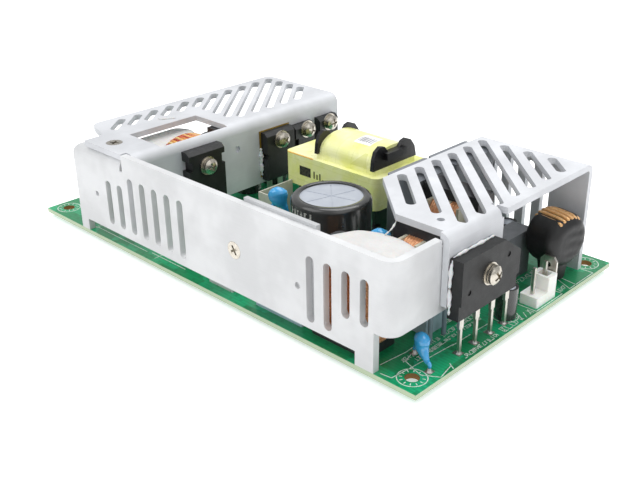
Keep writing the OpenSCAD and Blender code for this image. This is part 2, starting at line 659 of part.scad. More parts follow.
circuit_board();
solder_joints();
front_heatsink();
left_heatsink();
right_heatsink();
backing_plate();
clamp_screws();
clamp_washers();
countersunk_screws();
main_switch();
rectifier_block();
small_rectifiers();
insulating_pad();
device_leads();
bridge_rectifier();
bridge_leads();
transformer_core();
transformer_winding();
transformer_bobbin();
transformer_pins();
bulk_capacitor_sleeve();
bulk_capacitor_can();
box_capacitors();
x_capacitor();
film_capacitors();
relay_block();
small_electrolytics();
output_capacitor_sleeves();
output_capacitor_cans();
disc_capacitors();
disc_capacitor_leads();
line_choke_cores();
line_choke_windings();
line_choke_bobbins();
boost_choke_winding();
boost_choke_core();
sleeved_choke_sleeve();
sleeved_choke_winding();
output_choke_winding();
thermal_cutout();
input_connector();
connector_pins();
ground_tab();
output_connector();
output_pins();
barrier_sheet();
silicone_glue();
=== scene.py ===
import bmesh
import bpy
import numpy as np
from mathutils import Matrix


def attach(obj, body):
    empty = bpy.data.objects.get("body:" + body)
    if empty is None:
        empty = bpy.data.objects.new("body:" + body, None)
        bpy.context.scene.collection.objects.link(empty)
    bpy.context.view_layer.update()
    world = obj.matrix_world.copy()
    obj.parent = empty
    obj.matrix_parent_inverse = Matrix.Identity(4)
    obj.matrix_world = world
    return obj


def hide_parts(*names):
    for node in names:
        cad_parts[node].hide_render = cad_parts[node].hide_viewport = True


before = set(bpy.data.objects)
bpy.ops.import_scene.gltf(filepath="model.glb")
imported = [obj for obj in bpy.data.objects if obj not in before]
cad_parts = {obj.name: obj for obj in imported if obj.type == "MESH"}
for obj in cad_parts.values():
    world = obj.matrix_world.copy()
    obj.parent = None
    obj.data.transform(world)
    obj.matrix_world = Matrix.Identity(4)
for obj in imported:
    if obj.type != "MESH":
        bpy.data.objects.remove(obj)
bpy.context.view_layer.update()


# ---- circuit board ----
# Glass-epoxy laminate with copper on both faces under green solder mask.
# The outline is routed, so the edge shows the bare pale laminate, and the
# four mounting holes are plated through.
class Val:
    """One output socket; Python's operators on it add Math nodes."""

    def __init__(self, tree, socket):
        self.tree, self.socket = tree, socket

    def math(self, operation, *others):
        n = self.tree.nodes.new("ShaderNodeMath")
        n.operation = operation
        for i, v in enumerate((self,) + others):
            if isinstance(v, Val):
                self.tree.links.new(v.socket, n.inputs[i])
            else:
                n.inputs[i].default_value = v
        return Val(self.tree, n.outputs[0])

    def other(self, out):
        return Val(self.tree, self.socket.node.outputs[out])

    def __add__(self, v): return self.math("ADD", v)
    def __radd__(self, v): return self.math("ADD", v)
    def __sub__(self, v): return self.math("SUBTRACT", v)
    def __rsub__(self, v): return self.math("MULTIPLY", -1.0).math("ADD", v)
    def __mul__(self, v): return self.math("MULTIPLY", v)
    def __rmul__(self, v): return self.math("MULTIPLY", v)
    def __truediv__(self, v): return self.math("DIVIDE", v)
    def __pow__(self, v): return self.math("POWER", v)
    def __gt__(self, v): return self.math("GREATER_THAN", v)
    def __lt__(self, v): return self.math("LESS_THAN", v)
    def __abs__(self): return self.math("ABSOLUTE")


def ink(red, green, blue):
    """A colour given in 0 to 255 display steps, as the linear colour that a node wants."""
    c = np.array((red, green, blue)) / 255
    return (*np.where(c > 0.04045, ((c + 0.055) / 1.055) ** 2.4, c / 12.92).tolist(), 1.0)


class Finish:
    """A material made of nodes. put() adds any node from its type, settings and sockets."""

    def __init__(self, name, colour, rough=0.5, metal=0.0, **fixed):
        self.mat = bpy.data.materials.new(name)
        self.mat.use_nodes = True
        self.tree = self.mat.node_tree
        self.tree.nodes.clear()
        self.shader = self.tree.nodes.new("ShaderNodeBsdfPrincipled")
        end = self.tree.nodes.new("ShaderNodeOutputMaterial")
        self.tree.links.new(self.shader.outputs[0], end.inputs[0])
        self.set(Base_Color=colour, Roughness=rough, Metallic=metal, **fixed)
        self.mat.diffuse_color = colour

    def _join(self, node, key, value):
        place = int(key[1:]) if key[0] == "i" and key[1:].isdigit() else key.replace("_", " ")
        if isinstance(value, Val):
            self.tree.links.new(value.socket, node.inputs[place])
        else:
            node.inputs[place].default_value = value

    def set(self, **sockets):
        for key, value in sockets.items():
            self._join(self.shader, key, value)

    def put(self, kind, settings=(), out=0, **sockets):
        node = self.tree.nodes.new(kind)
        for key, value in dict(settings).items():
            if key == "stops":
                ramp = node.color_ramp
                while len(ramp.elements) < len(value):
                    ramp.elements.new(0.5)
                for e, (at, colour) in zip(ramp.elements, value):
                    e.position, e.color = at, colour
            else:
                setattr(node, key, value)
        for key, value in sockets.items():
            self._join(node, key, value)
        return Val(self.tree, node.outputs[out])

    def place(self, scale=(1, 1, 1), shift=(0, 0, 0), turn=(0, 0, 0)):
        """Object coordinates in millimetres, scaled, shifted and turned."""
        at = self.put("ShaderNodeTexCoord", out="Object")
        return self.put("ShaderNodeMapping", Vector=at, Scale=tuple(1000 * s for s in scale),
                        Location=shift, Rotation=turn)

    def xyz(self):
        """x, y and z in millimetres from the board's centre and top face."""
        x = self.put("ShaderNodeSeparateXYZ", Vector=self.place(shift=(0.7, 0, -3.4)))
        return x, x.other(1), x.other(2)

    def noise(self, size, detail=3.0, stretch=(1, 1, 1), rough=0.55):
        """Noise from 0 to 1 whose lumps are size millimetres, drawn out along each axis."""
        where = self.place(tuple(1 / (size * s) for s in stretch))
        return self.put("ShaderNodeTexNoise", Vector=where, Scale=1.0, Detail=detail, Roughness=rough)

    def mix(self, factor, a, b, kind="MIX"):
        return self.put("ShaderNodeMix", dict(data_type="RGBA", blend_type=kind), out=2,
                        i0=factor, i6=a, i7=b)

    def ramp(self, value, low, high):
        """0 below low, 1 above high, and smooth between them."""
        return self.put("ShaderNodeMapRange", dict(interpolation_type="SMOOTHSTEP"), i0=value,
                        i1=low, i2=high, i3=0.0, i4=1.0)

    def bump(self, height, depth, strength=1.0):
        """height times depth in millimetres, as a bump that feeds Normal."""
        self.set(Normal=self.put("ShaderNodeBump", Height=height, Distance=depth / 1000, Strength=strength))


def dress(finish, *nodes):
    for node in nodes:
        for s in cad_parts[node].material_slots:
            s.material = finish.mat


def at_board(p):
    """Millimetres from the board's centre and top face, as metres in the row frame."""
    return (np.asarray(p, float) + (-0.7, 0.0, 3.4)) / 1000


def piece(name, points, faces, finish, slot, smooth=True):
    """A mesh from an array of points and an array of faces, welded, turned to face outwards."""
    points = at_board(points).reshape(-1, 3)
    corners = points[faces[:, :3]]
    if np.einsum("ij,ij->i", corners[:, 0], np.cross(corners[:, 1], corners[:, 2])).sum() < 0:
        faces = faces[:, ::-1]
    mesh = bpy.data.meshes.new(name)
    mesh.from_pydata(points.tolist(), [], faces.tolist())
    shell = bmesh.new()
    shell.from_mesh(mesh)
    bmesh.ops.remove_doubles(shell, verts=shell.verts, dist=1e-7)
    shell.to_mesh(mesh)
    shell.free()
    mesh.polygons.foreach_set("use_smooth", np.full(len(mesh.polygons), smooth))
    mesh.materials.append(finish.mat)
    obj = bpy.data.objects.new(name, mesh)
    bpy.context.scene.collection.objects.link(obj)
    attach(obj, "root")
    return obj


def bars(segments, width, low, high):
    """Flat-ended bars: each runs from (x0, y0) to (x1, y1), width across, low to high in z."""
    s = np.asarray(segments, float)
    a, b = s[:, :2], s[:, 2:]
    ahead = (b - a) / np.linalg.norm(b - a, axis=1, keepdims=True)
    side = ahead[:, ::-1] * (-width / 2, width / 2)
    ring = np.stack([a - side, b - side, b + side, a + side], 1)
    z = np.ones(ring.shape[:2] + (1,))
    points = np.concatenate([np.concatenate([ring, z * low], 2), np.concatenate([ring, z * high], 2)], 1)
    box = np.array([[3, 2, 1, 0], [4, 5, 6, 7], [0, 1, 5, 4], [1, 2, 6, 5], [2, 3, 7, 6], [3, 0, 4, 7]])
    return points.reshape(-1, 3), (box + 8 * np.arange(len(s))[:, None, None]).reshape(-1, 4)


# half length and half width of the board, and its mounting holes
board_x, board_y, hole_inset, hole_r = 88.9, 50.8, 5.715, 2.1
hole_x, hole_y = board_x - hole_inset, board_y - hole_inset
# the four legs of the bridge, and the small cans as (x, y, height)
bridge_leg_y = (-27.2, -19.8, -12.4, -5.3)
small_cans = ((83, -1.4, 10), (-21, -34, 12), (-14, -40, 12), (60, 33, 12))

mask = Finish("solder_mask", ink(16, 116, 72), 0.3, Coat_Weight=0.35, Coat_Roughness=0.12)
x, y, z = mask.xyz()
cells = mask.put("ShaderNodeTexVoronoi", dict(distance="CHEBYCHEV"), out=1,
                 Vector=mask.place((0.11, 0.085, 0.5)), Scale=1.0)
pour = mask.ramp(mask.put("ShaderNodeSeparateColor", Color=cells), 0.45, 0.5)
weave = mask.noise(0.35, 2, (1, 3, 1))
green = mask.mix(pour, ink(10, 140, 84), ink(22, 176, 118))
green = mask.mix(mask.noise(14, 2) * 0.5, green, ink(30, 146, 96))
track = mask.put("ShaderNodeTexBrick", dict(offset=0.37), out=1, Vector=mask.place((0.055, 0.21, 1)),
                 Scale=1.0, Mortar_Size=0.035, Mortar_Smooth=0.3)
green = mask.mix(track * 0.3, green, ink(4, 70, 44))
laminate = mask.mix(mask.noise(0.5, 2, (1, 1, 0.15)), ink(176, 196, 160), ink(206, 218, 188))
hole = ((abs(x) - hole_x) ** 2 + (abs(y) - hole_y) ** 2) < hole_r ** 2
edge = (z < -0.02) * (z > -1.58)
skin = mask.mix(edge, green, laminate)
mask.set(Base_Color=mask.mix(hole, skin, ink(150, 112, 62)), Metallic=hole * 0.8,
         Roughness=0.28 + edge * 0.4 + weave * 0.06)
mask.bump(weave + pour * 1.5, 0.03, 0.4)
dress(mask, "circuit_board")

silk = Finish("silk_print", ink(226, 232, 224), 0.6)
silk.set(Base_Color=silk.mix(silk.ramp(silk.noise(0.6, 3), 0.3, 0.62),
                             ink(170, 196, 178), ink(234, 238, 232)))
silk.bump(silk.noise(0.2), 0.01)
turn = np.linspace(0, 2 * np.pi, 49)
ring_r, spoke_in, spoke_out, can_ring_r = 4.15, 2.7, 3.6, 3.9
holes = [(sx * hole_x, sy * hole_y) for sx in (-1, 1) for sy in (-1, 1)]
rings = [np.stack([cx + ring_r * np.cos(turn), cy + ring_r * np.sin(turn)], 1) for cx, cy in holes]
print_lines = [np.concatenate([r[:-1], r[1:]], 1) for r in rings]
spoke = turn[:-1:4]
for cx, cy in holes:
    c, s = np.cos(spoke), np.sin(spoke)
    print_lines.append(np.stack([cx + spoke_in * c, cy + spoke_in * s,
                                 cx + spoke_out * c, cy + spoke_out * s], 1))
# lines between parts, as (x0, y0, x1, y1)
print_lines.append(np.array([
    [81.5, -25.4, 81.7, -16.9], [81.7, -14, 82, -8.6], [75.7, -49.3, 79.3, -48.9],
    [79.3, -48.9, 80, -41.8], [80, -41.8, 81.3, -24.4], [73.1, -46.3, 74.2, -36.5],
    [74.2, -36.5, 73.8, -27], [75.5, -35.2, 79, -34.4], [75.5, -35.2, 77, -40.2],
    [77, -40.2, 84, -42.6], [84, -42.6, 88.6, -39.8], [88.6, -39.8, 87.2, -33.4],
    [86.3, -32.9, 88.6, -34.3], [82.6, 30.7, 88.4, 29.8], [88.4, 29.8, 88.4, 40.6],
    [82.5, 40.3, 88.4, 40.6], [82.7, 28.9, 88.4, 26.2], [88.4, 26.2, 88.4, 29.2],
    [80.4, 7, 88.4, 7], [80.4, 21.8, 88.4, 21.8], [80.4, 7, 80.4, 21.8], [88.4, 7, 88.4, 21.8],
    [-88, -30, -76, -30], [-76, -30, -76, 26], [-88, 26, -76, 26], [-74, -40, -58, -40],
    [-58, -40, -58, -46], [-70, -44, -62, -44], [-40, -44.5, -24, -44.5], [-24, -44.5, -24, -49],
    [-20, -45.6, 4, -45.6], [-60, -47.6, -30, -47.6], [-28, -47, -10, -47], [52, 40, 80, 40],
    [46, 43, 78, 43], [46, 43, 46, 47], [-20, 43, 20, 43], [-20, 43, -20, 48], [20, 43, 20, 48],
    [-60, 44.5, -30, 44.5]], float))
turn_cap = np.linspace(0, 2 * np.pi, 33)
for cx, cy, tall in small_cans:
    ring = np.stack([cx + can_ring_r * np.cos(turn_cap), cy + can_ring_r * np.sin(turn_cap)], 1)
    print_lines.append(np.concatenate([ring[:-1], ring[1:]], 1))
print_high = 0.03
piece("board_print_lines", *bars(np.concatenate(print_lines), 0.26, 0.0, print_high), silk,
      "solder_mask_board", False)


def tick_rows(rows, seed):
    """Rows of short printed strokes: each cell of a row along Y keeps a few strokes of a small frame."""
    pick = np.random.default_rng(seed)
    strokes = np.array([[0, 0, 0, 1], [0, 0, 1, 0], [0, 1, 1, 1], [1, 0, 1, 1],
                        [0.5, 0, 0.5, 1], [0, 0, 1, 1]], float)
    found = []
    for cx, y0, y1, tall in rows:
        cell = tall * 0.72
        start = np.arange(y0, y1, cell * 1.35)
        keep = pick.random((len(start), len(strokes))) < 0.42
        row = np.nonzero(keep)
        s = strokes[row[1]]
        at = start[row[0]][:, None]
        found.append(np.concatenate([cx + s[:, 1:2] * -tall + tall / 2, at + s[:, 0:1] * cell,
                                     cx + s[:, 3:4] * -tall + tall / 2, at + s[:, 2:3] * cell], 1))
    return np.concatenate(found)


# each row as (x, first y, last y, height of a stroke)
rows = [(76.3, -41, -3, 1.4), (78.6, -38, -27, 1.3), (72.6, -16.5, -6, 1.2), (87.3, -28, -12.5, 1.3),
        (87, -9, 6.4, 2.3), (74.2, 18.5, 28, 1.6), (79, 22, 27, 1.3), (86.6, 22.5, 26, 1.5),
        (78.5, -31, -8, 1.1),
        (-60, -48.5, -46, 1.2), (-72.8, -20, 30, 1.6), (-81, 30, 40, 1.4)]
piece("board_print_marks", *bars(tick_rows(rows, 5), 0.2, 0.0, print_high), silk,
      "solder_mask_board", False)

tin = Finish("tinned_pad", ink(176, 170, 160), 0.35, 0.9)
tin.set(Base_Color=tin.mix(tin.noise(0.5), ink(120, 110, 100), ink(206, 200, 190)),
        Roughness=0.2 + tin.noise(0.8) * 0.4)
tin.bump(tin.noise(0.7), 0.15)
pads = [[83.6, at, 86.2, at] for at in bridge_leg_y]
pads += [[cx - 1.1, cy, cx + 1.1, cy]
         for cx, cy in ((84.7, -39.8), (76.1, -35.4), (79.9, 26.8), (74, 44), (-66, -46))]
piece("board_pads", *bars(pads, 2.4, 0.0, 0.045), tin, "solder", False)


def lathe(profile, centre, sides=48):
    """A profile of (radius, height) points carried round the upright line through centre."""
    p, t = np.asarray(profile, float), np.linspace(0, 2 * np.pi, sides, endpoint=False)
    r, up = p[:, 0][:, None], p[:, 1][:, None]
    points = np.stack([centre[0] + r * np.cos(t), centre[1] + r * np.sin(t),
                       centre[2] + up + 0 * t], 2)
    return points.reshape(-1, 3), grid(len(p), sides, wrap_v=True)


def grid(nu, nv, wrap_u=False, wrap_v=False):
    """Quads of nu by nv points: each point is joined to its next ones along u and v."""
    u, v = np.meshgrid(np.arange(nu if wrap_u else nu - 1), np.arange(nv if wrap_v else nv - 1),
                       indexing="ij")
    u1, v1 = (u + 1) % nu, (v + 1) % nv
    return np.stack([u * nv + v, u1 * nv + v, u1 * nv + v1, u * nv + v1], -1).reshape(-1, 4)


def several(shapes):
    """Several (points, faces) pairs as one, each after the last."""
    start = np.cumsum([0] + [len(p) for p, f in shapes])
    faces = np.concatenate([f + s for (p, f), s in zip(shapes, start)])
    return np.concatenate([p for p, f in shapes]), faces


solder = Finish("bright_solder", ink(200, 200, 204), 0.25, 1.0)
solder.set(Base_Color=solder.mix(solder.noise(0.8), ink(150, 148, 146), ink(222, 220, 216)),
           Roughness=0.18 + solder.noise(0.5) * 0.35)
solder.bump(solder.noise(0.6), 0.12)
fillet = [(0, 0), (1.15, 0.02), (0.95, 0.12), (0.72, 0.3), (0.58, 0.62), (0.5, 1.0), (0, 1.02)]
joints = [(84.95, at, 0.04) for at in bridge_leg_y] + [(84.7, -39.8, 0.0), (76.1, -35.4, 0.0)]
piece("lead_fillets", *several([lathe(fillet, c, 20) for c in joints]), solder, "solder")
dress(solder, "solder_joints")


# ---- heatsinks and backing plate ----
# Bare aluminium sheet, punched and folded: a front wall with folded ends, a
# wall with a slotted shelf on the left, and a slotted roof on the right.
# The rolled sheet keeps a fine grain along its length and a few rub marks.
def sheet_metal(name, colour, along, rough=0.62):
    """Rolled aluminium: grain drawn out along one axis, soft clouds and thin dark rubs."""
    f = Finish(name, colour, rough, 0.3)
    grain = f.noise(0.22, 2, along)
    cloud = f.noise(16, 3)
    dark = tuple(c * 0.84 for c in colour[:3]) + (1.0,)
    tone = f.mix(f.ramp(cloud, 0.35, 0.7), dark, colour)
    tone = f.mix(grain * 0.22, tone, ink(250, 250, 252))
    rub = f.ramp(f.noise(5, 6, (1, 1, 2.2), 0.7), 0.66, 0.74) * f.ramp(f.noise(0.5, 2), 0.5, 0.6)
    tone = f.mix(rub * 0.45, tone, ink(112, 112, 110))
    f.set(Base_Color=tone, Roughness=rough - 0.06 + grain * 0.1 + rub * 0.2 + cloud * 0.06)
    f.bump(grain + f.noise(2.5, 2) * 1.5, 0.02, 0.5)
    return f


dress(sheet_metal("front_sheet_metal", ink(225, 226, 227), (40, 1, 1)), "front_heatsink")
dress(sheet_metal("left_sheet_metal", ink(214, 216, 220), (1, 40, 1)), "left_heatsink")
dress(sheet_metal("right_sheet_metal", ink(222, 224, 228), (1, 40, 1)), "right_heatsink")
dress(sheet_metal("plate_metal", ink(196, 198, 200), (40, 1, 1), 0.5), "backing_plate")

# ---- screws and washers ----
# Nickel-plated steel pan heads with a flat and a split washer, and two
# countersunk screws that tie the sheets together. Turned, so faintly ringed.
steel = Finish("nickel_steel", ink(196, 190, 178), 0.22, 1.0)
steel.set(Base_Color=steel.mix(steel.noise(0.7), ink(160, 152, 140), ink(222, 217, 206)),
          Roughness=0.16 + steel.noise(0.35) * 0.22)
steel.bump(steel.noise(0.25), 0.03)
dress(steel, "clamp_screws", "clamp_washers", "countersunk_screws")

# ---- clamped power devices ----
# Moulded black epoxy bodies on a metal tab, screwed flat to the heatsink.
# One stands on an amber insulating film; their legs are tinned copper.
def moulding(name, colour, rough, speck=0.3, depth=0.02, lift=1.5):
    """A matt moulded body: fine sparkle of filler, soft change of tone and of gloss."""
    f = Finish(name, colour, rough)
    light = tuple(min(1.0, c * lift + 0.004) for c in colour[:3]) + (1.0,)
    grit = f.noise(0.16, 3)
    tone = f.mix(f.ramp(f.noise(4, 3), 0.3, 0.75), colour, light)
    glint = tuple(min(1, c * 3 + 0.03) for c in colour[:3]) + (1.0,)
    f.set(Base_Color=f.mix(f.ramp(grit, 0.62, 0.75) * speck, tone, glint),
          Roughness=rough - 0.08 + f.noise(2.2, 2) * 0.16)
    f.bump(grit + f.noise(1.3, 2), depth)
    return f


epoxy = moulding("device_epoxy", ink(19, 20, 21), 0.46)
dress(epoxy, "main_switch", "rectifier_block", "small_rectifiers")
film = Finish("amber_film", ink(142, 96, 40), 0.25, Coat_Weight=0.5)
film.set(Base_Color=film.mix(film.noise(3), ink(118, 72, 28), ink(150, 140, 60)))
film.bump(film.noise(2), 0.03)
dress(film, "insulating_pad")
legs = Finish("tinned_legs", ink(204, 202, 196), 0.28, 1.0)
legs.set(Base_Color=legs.mix(legs.noise(0.8, 3, (1, 1, 4)), ink(168, 162, 150), ink(228, 226, 220)),
         Roughness=0.2 + legs.noise(0.6) * 0.25)
legs.bump(legs.noise(0.3, 2, (1, 1, 6)), 0.02)
dress(legs, "device_leads", "bridge_leads", "transformer_pins", "disc_capacitor_leads",
      "connector_pins", "output_pins")

# ---- bridge rectifier ----
# Flat four-leg epoxy bridge on the right heatsink, a greyer and smoother
# moulding, bedded in white heat-conducting grease that squeezes out.
dress(moulding("bridge_epoxy_finish", ink(9, 10, 11), 0.56, 0.15), "bridge_rectifier")
grease = Finish("white_grease", ink(238, 239, 240), 0.55, Subsurface_Weight=0.15, Subsurface_Scale=0.002)
grease.set(Base_Color=grease.mix(grease.noise(0.8), ink(220, 221, 222), ink(246, 246, 247)))
grease.bump(grease.noise(0.4, 4), 0.1)


def tube(path, radius, sides=10, closed=False, ref=(0.0, 0.0, 1.0)):
    """Points of path + radius * (cos t * across + sin t * up), square to the path.

    The radius may change along the path."""
    path = np.asarray(path, float)
    ahead = np.roll(path, -1, -2) - np.roll(path, 1, -2) if closed else np.gradient(path, axis=-2)
    ahead = ahead / np.linalg.norm(ahead, axis=-1, keepdims=True)
    across = np.cross(ahead, np.broadcast_to(ref, ahead.shape))
    across = across / np.linalg.norm(across, axis=-1, keepdims=True)
    up = np.cross(across, ahead)
    t = np.linspace(0, 2 * np.pi, sides, endpoint=False)
    r = np.broadcast_to(np.asarray(radius, float), path.shape[:-1])[..., None, None]
    c, s = np.cos(t)[:, None], np.sin(t)[:, None]
    points = path[..., None, :] + r * (c * across[..., None, :] + s * up[..., None, :])
    n, k = path.shape[-2], int(np.prod(path.shape[:-2]))
    faces = grid(n, sides, closed, True)[None] + n * sides * np.arange(k)[:, None, None]
    return points.reshape(-1, 3), faces.reshape(-1, 4)


def curve(knots, n):
    """n points on a smooth line through the knots, by cubic blending of their spacing."""
    k = np.asarray(knots, float)
    t = np.linspace(0, len(k) - 1, n)
    i = np.clip(t.astype(int), 0, len(k) - 2)
    f = (t - i)[:, None]
    slope = np.gradient(k, axis=0)
    h = f * f * (3 - 2 * f)
    return (k[i] * (1 - h) + k[i + 1] * h + slope[i] * f * (1 - f) ** 2 - slope[i + 1] * f * f * (1 - f))


def bead(knots, thick, n=40, seed=1):
    """A line of paste: a tube through the knots that swells, thins and closes at both ends."""
    t = np.linspace(0, 1, n)
    wave = 1 + 0.3 * np.sin(17 * t + seed) + 0.22 * np.sin(41 * t + 2 * seed)
    return tube(curve(knots, n), thick * wave * np.sqrt(np.clip(np.sin(np.pi * t), 0, 1)) ** 0.6, 10)


side_bead = [(83.5, -30.7, 12.8), (83.6, -30.9, 16), (83.4, -30.8, 21), (83.6, -30.9, 26.5),
             (83.6, -30.3, 29.4)]
top_bead = [(83.4, -30, 29.7), (83.4, -24, 29.8), (83.4, -16, 29.7), (83.4, -11, 29.7)]
piece("bridge_grease", *several([bead(side_bead, 0.52, 44, 2), bead(top_bead, 0.42, 40, 4)]),
      grease, "bridge_epoxy")
device_bead = [(-30.1, 6.4, 12), (-30, 6.1, 16), (-30.1, 6.2, 20), (-30, 6.1, 23)]
piece("switch_grease", *bead(device_bead, 0.75, 30, 3), grease, "rectifier_epoxy")

# ---- transformer ----
# Ferrite core and windings wrapped in pale yellow polyester tape, on a black
# moulded former with pins. The outer turn's end is folded to a tab.
def tape(name, laps):
    """Glossy yellow tape: overlapped turns, small creases, and darker where a flap doubles it."""
    f = Finish(name, ink(238, 238, 160), 0.26, Coat_Weight=0.4, Coat_Roughness=0.15)
    x, y, z = f.xyz()
    fold = f.noise(9, 3, (1, 1, 1))
    tone = f.mix(f.ramp(fold, 0.3, 0.7), ink(244, 246, 148), ink(254, 254, 198))
    lap = f.put("ShaderNodeTexWave", dict(bands_direction=laps, wave_profile="SAW"), out=1,
                Vector=f.place((0.045, 0.045, 0.045)), Scale=1.0, Distortion=0.6, Detail=1.0)
    tone = f.mix(f.ramp(lap, 0.93, 0.99) * 0.22, tone, ink(204, 208, 92))
    line = (z > 26.05 + f.noise(6) * 0.3) * (x < -1) * (y < 4.6)
    hem = z - 28.6
    flap = (x > 15 + hem * 1.1) * (x < 21.6 - hem * 0.3) * (hem < 3.8) * (y < 12) * (hem > -0.6)
    tone = f.mix(flap * 0.6, tone, ink(222, 224, 118))
    f.set(Base_Color=f.mix(line, tone, ink(240, 186, 70)), Roughness=0.2 + f.noise(5) * 0.18)
    f.bump(lap * 0.6 + f.noise(3.2, 3) + f.noise(0.6, 2) * 0.1, 0.1, 0.5)
    return f


dress(tape("core_wrap", "Z"), "transformer_core")
dress(tape("winding_wrap", "X"), "transformer_winding")
dress(moulding("former_plastic", ink(17, 17, 19), 0.36, 0.15), "transformer_bobbin")


def dome(x0, x1, a0, a1, lift, nx=24, na=36):
    """A patch on the winding's dome, whose height is 8.1 sin(a) ** 0.6 over a half width 10.2 cos(a).

    It runs from x0 to x1 and from a0 to a1 degrees, lift above the dome."""
    x, a = np.meshgrid(np.linspace(x0, x1, nx), np.radians(np.linspace(a0, a1, na)), indexing="ij")
    top = np.stack([x, 16.5 - (10.2 + lift) * np.cos(a), 26.4 + (8.1 + lift) * np.sin(a) ** 0.6], 2)
    low = np.stack([x, 16.5 - 10.1 * np.cos(a), 26.4 + 8.0 * np.sin(a) ** 0.6], 2)
    g, m = grid(nx, na), nx * na
    rim = np.concatenate([np.arange(0, m, na), m - na + np.arange(1, na),
                          np.arange(m - na - 1, 0, -na), np.arange(na - 1, 0, -1)])
    rim = rim[np.concatenate([[True], np.diff(rim) != 0])]
    nxt = np.roll(rim, -1)
    wall = np.stack([rim, nxt, nxt + m, rim + m], 1)
    faces = np.concatenate([g[:, ::-1], g + m, wall[:, ::-1]])
    return np.concatenate([top.reshape(-1, 3), low.reshape(-1, 3)]), faces


label = Finish("paper_label", ink(240, 240, 240), 0.5)
x, y, _ = label.xyz()
bar = label.put("ShaderNodeTexNoise", dict(noise_dimensions="1D"), W=x * 1.9 + 3, Scale=1.0, Detail=1.0)
strip = (abs(y - 14.4) < 1.7) * (abs(x - 14.9) < 3.1)
label.set(Base_Color=label.mix(strip * label.ramp(bar, 0.42, 0.5) * 0.75,
                               ink(242, 242, 240), ink(108, 108, 122)))
label.bump(label.noise(0.5), 0.01)
piece("winding_label", *dome(11.2, 18.6, 60, 100, 0.08), label, "winding_tape")
stamp = Finish("ink_patch", ink(44, 44, 40), 0.4)
stamp.set(Base_Color=stamp.mix(stamp.ramp(stamp.noise(0.7), 0.35, 0.6),
                               ink(34, 34, 32), ink(70, 70, 58)))
stamp.bump(stamp.noise(0.4), 0.01)
marks = [(-7.6, -2.2, 19.2, 22.6), (-0.8, -0.2, 19.4, 22), (0.6, 1.2, 19.4, 21.2),
         (2, 2.6, 19.4, 21.8), (3.4, 6.2, 19.4, 19.9)]


def plates(boxes, y0, y1):
    """Upright rectangles (x0, x1, z0, z1) from y0 to y1."""
    b = np.array(boxes, float)
    px, pz = b[:, [0, 1, 1, 0]], b[:, [2, 2, 3, 3]]
    near = np.stack([px, 0 * px + y0, pz], 2)
    far = np.stack([px, 0 * px + y1, pz], 2)
    box = np.array([[0, 1, 2, 3], [7, 6, 5, 4], [0, 4, 5, 1],
                    [1, 5, 6, 2], [2, 6, 7, 3], [3, 7, 4, 0]])
    return (np.concatenate([near, far], 1).reshape(-1, 3),
            (box + 8 * np.arange(len(b))[:, None, None]).reshape(-1, 4))


piece("core_ink_marks", *plates(marks, 3.97, 4.02), stamp, "core_tape", False)

# ---- large capacitor ----
# Aluminium can with three vent scores, in a glossy black shrink sleeve that
# rolls over its rim. The sleeve carries short pale print marks.
can_at, can_r, roll_r, sleeve_top = (31, -20.5, 0), 12.5, 1.7, 28.3
sleeve = Finish("black_sleeve", ink(26, 26, 28), 0.2, Coat_Weight=0.6, Coat_Roughness=0.1)
ripple = sleeve.noise(7, 2, (1, 1, 2.5))
sleeve.set(Base_Color=sleeve.mix(sleeve.noise(6), ink(34, 35, 35), ink(54, 55, 54)),
           Roughness=0.16 + ripple * 0.14)
sleeve.bump(ripple + sleeve.noise(0.8, 2) * 0.12, 0.25, 0.5)
roll = [(can_r - roll_r + roll_r * np.cos(t), sleeve_top + roll_r * np.sin(t))
        for t in np.linspace(0, np.pi / 2, 9)]
rim = ([(can_r, 0.0), (can_r, 10), (can_r, 26.2)] + roll
       + [(9.9, 30.0), (9.78, 29.8), (9.76, 0.0), (can_r, 0.0)])
big_sleeve = piece("large_capacitor_sleeve", *lathe(rim, can_at, 96), sleeve, "bulk_sleeve")
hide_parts("bulk_capacitor_sleeve")
can = Finish("can_aluminium", ink(196, 202, 212), 0.35, 0.4)
lathe_marks = can.put("ShaderNodeTexWave", dict(wave_type="RINGS", rings_direction="Z"), out=1,
                      Vector=can.place((1.1, 1.1, 1.1), shift=(-33.3, 22.55, 0)), Scale=1.0,
                      Distortion=1.5)
can.set(Base_Color=can.mix(can.noise(5), ink(180, 187, 199), ink(212, 217, 225)),
        Roughness=0.3 + lathe_marks * 0.08)
can.bump(lathe_marks, 0.01, 0.5)
dress(can, "bulk_capacitor_can", "output_capacitor_cans")


def wrapped_marks(cells, centre, radius, lift=0.04):
    """Patches bent round an upright cylinder: (angle 0, angle 1, z 0, z 1), degrees and millimetres."""
    c = np.asarray(cells, float)
    a = np.radians(c[:, :1] + (c[:, 1:2] - c[:, :1]) * np.linspace(0, 1, 5))
    z = np.stack([c[:, 2], c[:, 3]], 1)
    points = []
    for r in (radius + lift, radius - 0.05):
        px, py = centre[0] + r * np.cos(a), centre[1] + r * np.sin(a)
        patch = np.broadcast_arrays(px[:, None, :], py[:, None, :], (centre[2] + z)[:, :, None])
        points.append(np.stack(patch, 3).reshape(len(c), 10, 3))
    f = np.array([[i, i + 1, i + 6, i + 5] for i in range(4)])
    rim = np.array([0, 1, 2, 3, 4, 9, 8, 7, 6, 5])
    wall = np.stack([np.roll(rim, -1), rim, rim + 10, np.roll(rim, -1) + 10], 1)
    faces = np.concatenate([f, f[:, ::-1] + 10, wall])
    faces = faces + 20 * np.arange(len(c))[:, None, None]
    return np.concatenate(points, 1).reshape(-1, 3), faces.reshape(-1, 4)


pale = Finish("pale_print", ink(196, 196, 190), 0.45)
pale.set(Base_Color=pale.mix(pale.ramp(pale.noise(0.4), 0.35, 0.6),
                             ink(120, 120, 118), ink(206, 206, 200)))
pale.bump(pale.noise(0.3), 0.01)
pick = np.random.default_rng(3)
cells = []
